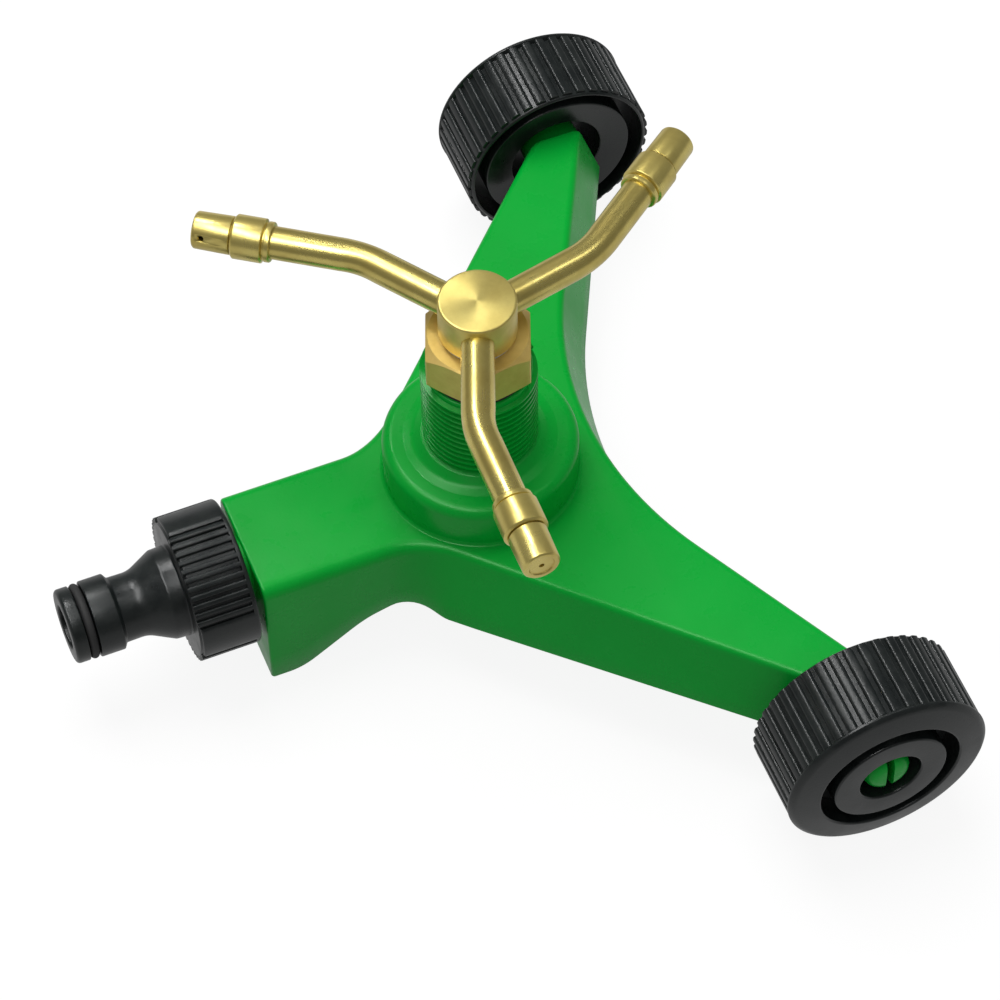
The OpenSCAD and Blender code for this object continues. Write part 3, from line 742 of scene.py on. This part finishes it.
def tube_ring(point, turn, bent, radius, count=48):
    """A ring round the tube: a little flat in the bend, with a crease on its inner side."""
    ring = []
    for i in range(count):
        a = 2 * math.pi * i / count
        inner = max(math.sin(a), 0.0) ** 3
        r = radius * (1 - 0.05 * bent * inner)
        side = r * math.sin(a)
        height = r * math.cos(a) * (1 - 0.01 * bent)
        ring.append((point.x - side * math.sin(turn), point.y + side * math.cos(turn), height))
    return ring


def arm_tube(bend):
    """The tube's skin, and the same points with the bend undone, along which it was drawn."""
    stations = tube_stations(bend)
    rings, drawn = [], []
    for radius, order in ((TUBE_RADIUS, stations), (TUBE_BORE, stations[::-1]), (TUBE_RADIUS, stations[:1])):
        for point, turn, bent, distance in order:
            rings.append(tube_ring(point, turn, bent, radius))
            drawn += tube_ring(Vector((distance, 0)), 0.0, bent, radius)
    return *skin(rings, False, False), drawn


def arm_place(i):
    return CENTRE @ Matrix.Translation((0, 0, ARM_HEIGHT * MM)) @ Matrix.Rotation(ARM_TURNS[i], 4, "Z")


def on_arm(i, distance):
    """Places local Z along the outer half of an arm, from a distance past its bend."""
    return (arm_place(i) @ Matrix.Translation((BEND_AT * MM, 0, 0)) @ Matrix.Rotation(BEND_TURNS[i], 4, "Z")
            @ Matrix.Rotation(math.pi / 2, 4, "Y") @ Matrix.Translation((0, 0, distance * MM)))


for i in range(3):
    tube = new_mesh("arm_tube_bent_%d" % (i + 1), [arm_tube(BEND_TURNS[i])], arm_place(i), 40)
    finish_piece(tube, BRASS_DRAWN, "rotor", "brass", "arm_tube_%d" % (i + 1))

# ---------------------------------------------------------------- nozzle collars and tips
# A turned sleeve is brazed on each tube's end, and a turned nozzle snaps into it and can be
# twisted to aim its side hole. A second small hole lets water out of its end.

COLLAR_AT = 21.6
COLLAR_LENGTH = 7.4
COLLAR_RADIUS = 5.0
NOZZLE_RADIUS = 4.35
NOZZLE_LENGTH = 8.9
SIDE_HOLES = [math.radians(a) for a in (160, 180, 205)]

collar_profile = filleted([
    (TUBE_RADIUS, -1.5), (4.55, -1.5, 0.4), (4.55, -0.2, 0.15), (4.1, 0.0), (4.1, 0.2),
    (COLLAR_RADIUS, 0.5, 0.2),
    (COLLAR_RADIUS, COLLAR_LENGTH - 0.45, 0.3), (COLLAR_RADIUS - 0.5, COLLAR_LENGTH, 0.1),
    (3.35, COLLAR_LENGTH), (3.35, 2.7), (TUBE_RADIUS, 2.7)], 3)
nozzle_profile = filleted([
    (0, NOZZLE_LENGTH - 1.8), (2.2, NOZZLE_LENGTH - 1.8), (2.2, -4.2), (3.3, -4.2), (3.3, 0.3),
    (NOZZLE_RADIUS, 0.3, 0.25), (NOZZLE_RADIUS - 0.15, NOZZLE_LENGTH, 0.7), (2.9, NOZZLE_LENGTH, 0.15),
    (2.7, NOZZLE_LENGTH - 0.3), (0.6, NOZZLE_LENGTH - 0.3), (0.6, NOZZLE_LENGTH - 1.2),
    (0, NOZZLE_LENGTH - 1.2)], 3)


def pierced(piece, cutter_part, place):
    """Cuts a hole through a piece with a closed part."""
    cutter = new_mesh(piece.name + "_hole", [cutter_part], place)
    cut = piece.modifiers.new("hole", "BOOLEAN")
    cut.operation = "DIFFERENCE"
    cut.object = cutter
    cut.solver = "EXACT"
    made = bpy.data.meshes.new_from_object(piece.evaluated_get(bpy.context.evaluated_depsgraph_get()))
    piece.modifiers.clear()
    piece.data = made
    bpy.data.objects.remove(cutter)


hole_profile = [(0, 0), (0.75, 0), (0.75, 6), (0, 6)]
for i in range(3):
    collar = new_mesh("nozzle_collar_turned_%d" % (i + 1), [turned(collar_profile, 72, True)],
                      on_arm(i, COLLAR_AT), 30)
    finish_piece(collar, BRASS_TURNED, "rotor", "brass", "nozzle_collar_%d" % (i + 1))
    seat = on_arm(i, COLLAR_AT + COLLAR_LENGTH)
    tip = new_mesh("nozzle_tip_turned_%d" % (i + 1), [turned(nozzle_profile, 72)], seat, 30)
    hole_place = (seat @ Matrix.Translation((0, 0, (NOZZLE_LENGTH - 2.4) * MM))
                  @ Matrix.Rotation(SIDE_HOLES[i], 4, "Z") @ Matrix.Rotation(math.pi / 2, 4, "X"))
    pierced(tip, turned(hole_profile, 24), hole_place)
    finish_piece(tip, BRASS_TURNED, "nozzle_%d" % (i + 1), "brass", "nozzle_tip_%d" % (i + 1))

# ---------------------------------------------------------------- wheels
# Each wheel is one black moulding. Narrow grooves part 42 tread ridges, which end at a smooth lip
# on the outer side; ring pockets keep the walls even, and the axle snaps into the wheel's middle.

LIP_RADIUS = 23.75
CREST_RADIUS = 23.6
GROOVE_RADIUS = 22.8
TREAD_COUNT = 42
RIDGE_START = 1.0


def black_moulding():
    """Black polypropylene with a satin, slightly dusty skin."""
    material, tree, shader, coords = new_surface("black_plastic", (0.014, 0.017, 0.017), 0.32)
    dust = noise_field(tree, coords, 180.0, 4.0, 0.6)
    share = remap(tree, dust, 0.4, 0.72, 0, 1)
    tone = blend_colours(tree, share, (0.008, 0.011, 0.011), (0.017, 0.021, 0.020))
    tree.links.new(tone, shader.inputs["Base Color"])
    tree.links.new(remap(tree, dust, 0.3, 0.7, 0.26, 0.40), shader.inputs["Roughness"])
    shader.inputs["Specular IOR Level"].default_value = 0.38
    bump(tree, shader, noise_field(tree, coords, 1800.0, 3.0), 0.00005, 0.45)
    return material


BLACK = black_moulding()


def ridge_tree():
    """Straight rounded ridges, side by side round an axis, each sunk at both its ends."""
    sizes = {"Count": 1, "First Angle": 0.0, "Step Angle": 0.0, "Radius": 1.0, "Length": 1.0,
             "Width": 1.0, "Height": 1.0, "Rounding": 0.1, "End Fade": 0.05}
    tree, source, ends = new_tree("grip_ridges", sizes)
    get = source.outputs
    tall = step(tree, "ShaderNodeMath", {0: get["Height"], 1: 2.0}, operation="MULTIPLY")
    block = step(tree, "GeometryNodeCurvePrimitiveQuadrilateral",
                 {"Width": tall.outputs[0], "Height": get["Width"]}, mode="RECTANGLE")
    soft = step(tree, "GeometryNodeFilletCurve",
                {"Curve": block.outputs[0], "Radius": get["Rounding"]}, mode="POLY")
    soft.inputs["Count"].default_value = 4
    far_end = step(tree, "ShaderNodeCombineXYZ", {"Z": get["Length"]})
    line = step(tree, "GeometryNodeCurvePrimitiveLine", {"End": far_end.outputs[0]})
    fine = step(tree, "GeometryNodeResampleCurve", {"Curve": line.outputs[0]})
    fine.inputs["Count"].default_value = 15
    along = step(tree, "GeometryNodeSplineParameter", {})
    from_end = step(tree, "ShaderNodeMath", {0: 1.0, 1: along.outputs["Factor"]}, operation="SUBTRACT")
    nearest = step(tree, "ShaderNodeMath", {0: along.outputs["Factor"], 1: from_end.outputs[0]},
                   operation="MINIMUM")
    fade = step(tree, "ShaderNodeMapRange", {"Value": nearest.outputs[0], "From Min": 0.0,
                                             "From Max": get["End Fade"], "To Min": 0.7, "To Max": 1.0},
                interpolation_type="SMOOTHSTEP")
    shaped = step(tree, "GeometryNodeSetCurveRadius", {"Curve": fine.outputs[0], "Radius": fade.outputs[0]})
    ridge = step(tree, "GeometryNodeCurveToMesh", {
        "Curve": shaped.outputs[0], "Profile Curve": soft.outputs[0], "Fill Caps": True})
    number = step(tree, "GeometryNodeInputIndex", {})
    turn = step(tree, "ShaderNodeMath", {0: number.outputs[0], 1: get["Step Angle"], 2: get["First Angle"]},
                operation="MULTIPLY_ADD")
    spin = step(tree, "ShaderNodeCombineXYZ", {"Z": turn.outputs[0]})
    out = step(tree, "ShaderNodeCombineXYZ", {"X": get["Radius"]})
    away = step(tree, "FunctionNodeRotateVector", {"Vector": out.outputs[0], "Rotation": spin.outputs[0]})
    points = step(tree, "GeometryNodePoints", {"Count": get["Count"], "Position": away.outputs[0]})
    ridges = step(tree, "GeometryNodeInstanceOnPoints", {
        "Points": points.outputs[0], "Instance": ridge.outputs[0], "Rotation": spin.outputs[0]})
    end_tree(tree, source, ends, ridges.outputs[0])
    return tree


RIDGES = ridge_tree()
wheel_profile = filleted([
    (5.05, 8.0), (11.5, 8.0), (11.5, 2.0, 0.4), (18.7, 0.9, 0.4), (18.7, 7), (21.8, 7), (21.8, 1.1, 0.4),
    (22.1, 0, 0.3), (GROOVE_RADIUS, 0.7, 0.3), (GROOVE_RADIUS, 19.0), (LIP_RADIUS, 19.45, 0.12),
    (LIP_RADIUS, 19.9, 0.6), (22.9, 20.88, 2.2), (16.6, 21.98, 0.5), (16.6, 15), (13.5, 15),
    (13.5, WHEEL_WIDTH, 0.5), (7.3, WHEEL_WIDTH, 0.5), (7.3, 16), (5.05, 16)], 6)
tread = grown("tread", RIDGES, {
    "Count": TREAD_COUNT, "First Angle": math.radians(2.0), "Step Angle": 2 * math.pi / TREAD_COUNT,
    "Radius": GROOVE_RADIUS, "Length": 18.3, "Width": 2.45, "Height": CREST_RADIUS - GROOVE_RADIUS,
    "Rounding": 0.72, "End Fade": 0.05}, BLACK)
tread = moved(tread, Matrix.Translation((0, 0, RIDGE_START)))
for side, name in ((-1, "front_wheel"), (1, "rear_wheel")):
    wheel = new_mesh(name + "_moulded", [turned(wheel_profile, 168, True), tread],
                     along_y(side, WHEEL_BACK), 30)
    finish_piece(wheel, BLACK, name, "black_plastic", name)

# ---------------------------------------------------------------- hose adapter
# A black moulding screwed on the inlet's thread: a grip ring with three fields of ridges, a
# waist, and the grooved tail that a hose connector snaps on. A rubber ring seals the tail.

TAIL_END = -100.6
TAIL_RADIUS = 8.7
TAIL_BORE = 5.2
TAIL_LENGTH = 26.6
RING_LENGTH = 14.2
RING_RADIUS = 17.0
RING_CORE = RING_RADIUS - 0.7
BAND_START = 12.9

adapter_profile = filleted([
    (TAIL_BORE, 0, 0.5), (TAIL_RADIUS, 0, 0.9), (TAIL_RADIUS, 3.2, 0.25), (6.8, 3.35, 0.2), (6.8, 5.65, 0.2),
    (TAIL_RADIUS + 0.2, 5.8, 0.3), (TAIL_RADIUS + 0.2, 11.35, 0.4), (7.65, 12.15, 0.5), (7.55, 17.2, 6.0),
    (10.5, 23.1, 1.6), (10.65, TAIL_LENGTH, 0.4), (RING_CORE - 0.6, TAIL_LENGTH, 0.3),
    (RING_CORE, TAIL_LENGTH + 0.8, 0.4),
    (RING_CORE, TAIL_LENGTH + BAND_START), (RING_RADIUS, TAIL_LENGTH + BAND_START + 0.2, 0.15),
    (RING_RADIUS, TAIL_LENGTH + RING_LENGTH, 0.6), (13.35, TAIL_LENGTH + RING_LENGTH, 0.3),
    (13.35, TAIL_LENGTH + 2), (TAIL_BORE, TAIL_LENGTH + 2)], 5)


def smooth_pad(start, end):
    """The part of the ring between two fields of ridges, from one angle to another, in degrees."""
    section = filleted([(RING_CORE - 0.3, 0.45), (RING_RADIUS, 0.1, 0.5), (RING_RADIUS, BAND_START + 0.6),
                        (RING_CORE - 0.3, BAND_START + 0.6)], 5)
    rings = []
    for i in range(19):
        a = math.radians(between(start, end, i / 18))
        lower = 0.25 if i in (0, 18) else 0.0
        reach = [(max(r - lower, RING_CORE - 0.4), z) for r, z in section]
        rings.append([(r * math.cos(a), r * math.sin(a), z) for r, z in reach])
    return skin(rings)


grip_parts = []
for field in range(3):
    middle = field * 120 + 90
    grip_parts.append(grown("grip", RIDGES, {
        "Count": 11, "First Angle": math.radians(middle - 36), "Step Angle": math.radians(7.2),
        "Radius": RING_CORE, "Length": BAND_START + 0.3, "Width": 1.25, "Height": RING_RADIUS - RING_CORE,
        "Rounding": 0.35, "End Fade": 0.05}, BLACK))
    grip_parts.append(smooth_pad(middle + 41.2, middle + 78.8))
grip_parts = [moved(part, Matrix.Translation((0, 0, TAIL_LENGTH + 0.1))) for part in grip_parts]
adapter = new_mesh("hose_adapter_moulded", [turned(adapter_profile, 120, True), *grip_parts],
                   along_x(TAIL_END), 30)
finish_piece(adapter, BLACK, "base", "black_plastic", "hose_adapter")
repaint(RUBBER, "adapter_o_ring", "inlet_washer")

# ---------------------------------------------------------------- stage, lights and camera
# A plain pale floor under the part, soft light from above and a camera above the inlet leg's side.

floor_mesh = bpy.data.meshes.new("floor")
floor_half = 6.0
floor_mesh.from_pydata([(-floor_half, -floor_half, 0), (floor_half, -floor_half, 0),
                        (floor_half, floor_half, 0), (-floor_half, floor_half, 0)], [], [(0, 1, 2, 3)])
floor = bpy.data.objects.new("floor", floor_mesh)
floor.location.z = -0.0002
bpy.context.scene.collection.objects.link(floor)


def light_paths(tree):
    """Two factors: 1 for rays from the camera, and 1 for rays that reflect or pass through."""
    rays = tree.nodes.new("ShaderNodeLightPath")
    mirrored = maths(tree, "MAXIMUM", rays.outputs["Is Glossy Ray"], rays.outputs["Is Transmission Ray"])
    return rays.outputs["Is Camera Ray"], mirrored


def plain_light(tree, strength):
    node = tree.nodes.new("ShaderNodeEmission")
    node.inputs["Strength"].default_value = strength
    return node.outputs[0]


def mixed(tree, factor, shader_a, shader_b):
    node = tree.nodes.new("ShaderNodeMixShader")
    tree.links.new(factor, node.inputs[0])
    tree.links.new(shader_a, node.inputs[1])
    tree.links.new(shader_b, node.inputs[2])
    return node.outputs[0]


def floor_surface():
    """Pale matt card: nearly white with the part's soft shadow, and paler grey in reflections."""
    material = bpy.data.materials.new("floor_card")
    material.use_nodes = True
    tree = material.node_tree
    tree.nodes.clear()
    card = tree.nodes.new("ShaderNodeBsdfDiffuse")
    card.inputs["Color"].default_value = (0.42, 0.42, 0.42, 1)
    pale = tree.nodes.new("ShaderNodeBsdfDiffuse")
    pale.inputs["Color"].default_value = (0.9, 0.9, 0.9, 1)
    camera_ray, mirrored = light_paths(tree)
    seen = mixed(tree, maths(tree, "MULTIPLY", camera_ray, 0.85), pale.outputs[0], plain_light(tree, 1.05))
    result = mixed(tree, camera_ray, card.outputs[0], seen)
    result = mixed(tree, mirrored, result, plain_light(tree, 0.62))
    out = tree.nodes.new("ShaderNodeOutputMaterial")
    tree.links.new(result, out.inputs["Surface"])
    return material


floor_mesh.materials.append(floor_surface())

world = bpy.data.worlds.new("studio")
world.use_nodes = True
world_tree = world.node_tree
world_tree.nodes.clear()


def plain_sky(strength):
    node = world_tree.nodes.new("ShaderNodeBackground")
    node.inputs["Strength"].default_value = strength
    return node.outputs[0]


camera_ray, mirrored = light_paths(world_tree)
sky = mixed(world_tree, mirrored, plain_sky(0.52), plain_sky(0.2))
sky = mixed(world_tree, camera_ray, sky, plain_sky(1.0))
world_out = world_tree.nodes.new("ShaderNodeOutputWorld")
world_tree.links.new(sky, world_out.inputs["Surface"])
bpy.context.scene.world = world


def soft_box(name, azimuth, elevation, distance, width, length, power):
    """An area light that faces the part from a direction, in degrees from +X and above the floor."""
    lamp = bpy.data.lights.new(name, "AREA")
    lamp.shape = "RECTANGLE"
    lamp.size = width
    lamp.size_y = length
    lamp.energy = power
    box = bpy.data.objects.new(name, lamp)
    a, e = math.radians(azimuth), math.radians(elevation)
    toward = Vector((math.cos(a) * math.cos(e), math.sin(a) * math.cos(e), math.sin(e)))
    aim = Vector((spin_axis.x, 0, 0.04))
    facing = toward.to_track_quat("Z", "Y").to_matrix().to_4x4()
    box.matrix_world = Matrix.Translation(aim + toward * distance) @ facing
    bpy.context.scene.collection.objects.link(box)
    return box


top_light = soft_box("top_light", 90, 66, 1.5, 1.1, 1.1, 18)
top_light.visible_glossy = False
strip_light = soft_box("strip_light", -170, 70, 1.0, 0.85, 0.3, 7.5)
strip_light.visible_diffuse = False
side_light = soft_box("side_light", -10, 71, 1.0, 0.14, 0.5, 0.9)
side_light.visible_diffuse = False
far_light = soft_box("far_light", 106, 56, 1.0, 0.12, 0.3, 3.5)
far_light.visible_diffuse = False

VIEW_AZIMUTH = math.radians(-21.26)
VIEW_ELEVATION = math.radians(55.0)
VIEW_DISTANCE = 0.9335
VIEW_TARGET = Vector((0.01316, -0.00704, 0.02934))
VIEW_ROLL = math.radians(-1.01)

back = Vector((math.sin(VIEW_AZIMUTH) * math.cos(VIEW_ELEVATION),
               -math.cos(VIEW_AZIMUTH) * math.cos(VIEW_ELEVATION), math.sin(VIEW_ELEVATION)))
right = Vector((0, 0, 1)).cross(back).normalized()
upward = back.cross(right)
lens = bpy.data.cameras.new("camera")
lens.sensor_width = 36.0
lens.lens = 147.76
lens.shift_y = -0.0026
lens.clip_start = 0.01
camera = bpy.data.objects.new("camera", lens)
rolled = [right * math.cos(VIEW_ROLL) + upward * math.sin(VIEW_ROLL),
          upward * math.cos(VIEW_ROLL) - right * math.sin(VIEW_ROLL), back]
camera_place = Matrix.Translation(VIEW_TARGET + back * VIEW_DISTANCE)
camera.matrix_world = camera_place @ Matrix(rolled).transposed().to_4x4()
bpy.context.scene.collection.objects.link(camera)
bpy.context.scene.camera = camera
bpy.context.scene.view_settings.view_transform = "Standard"
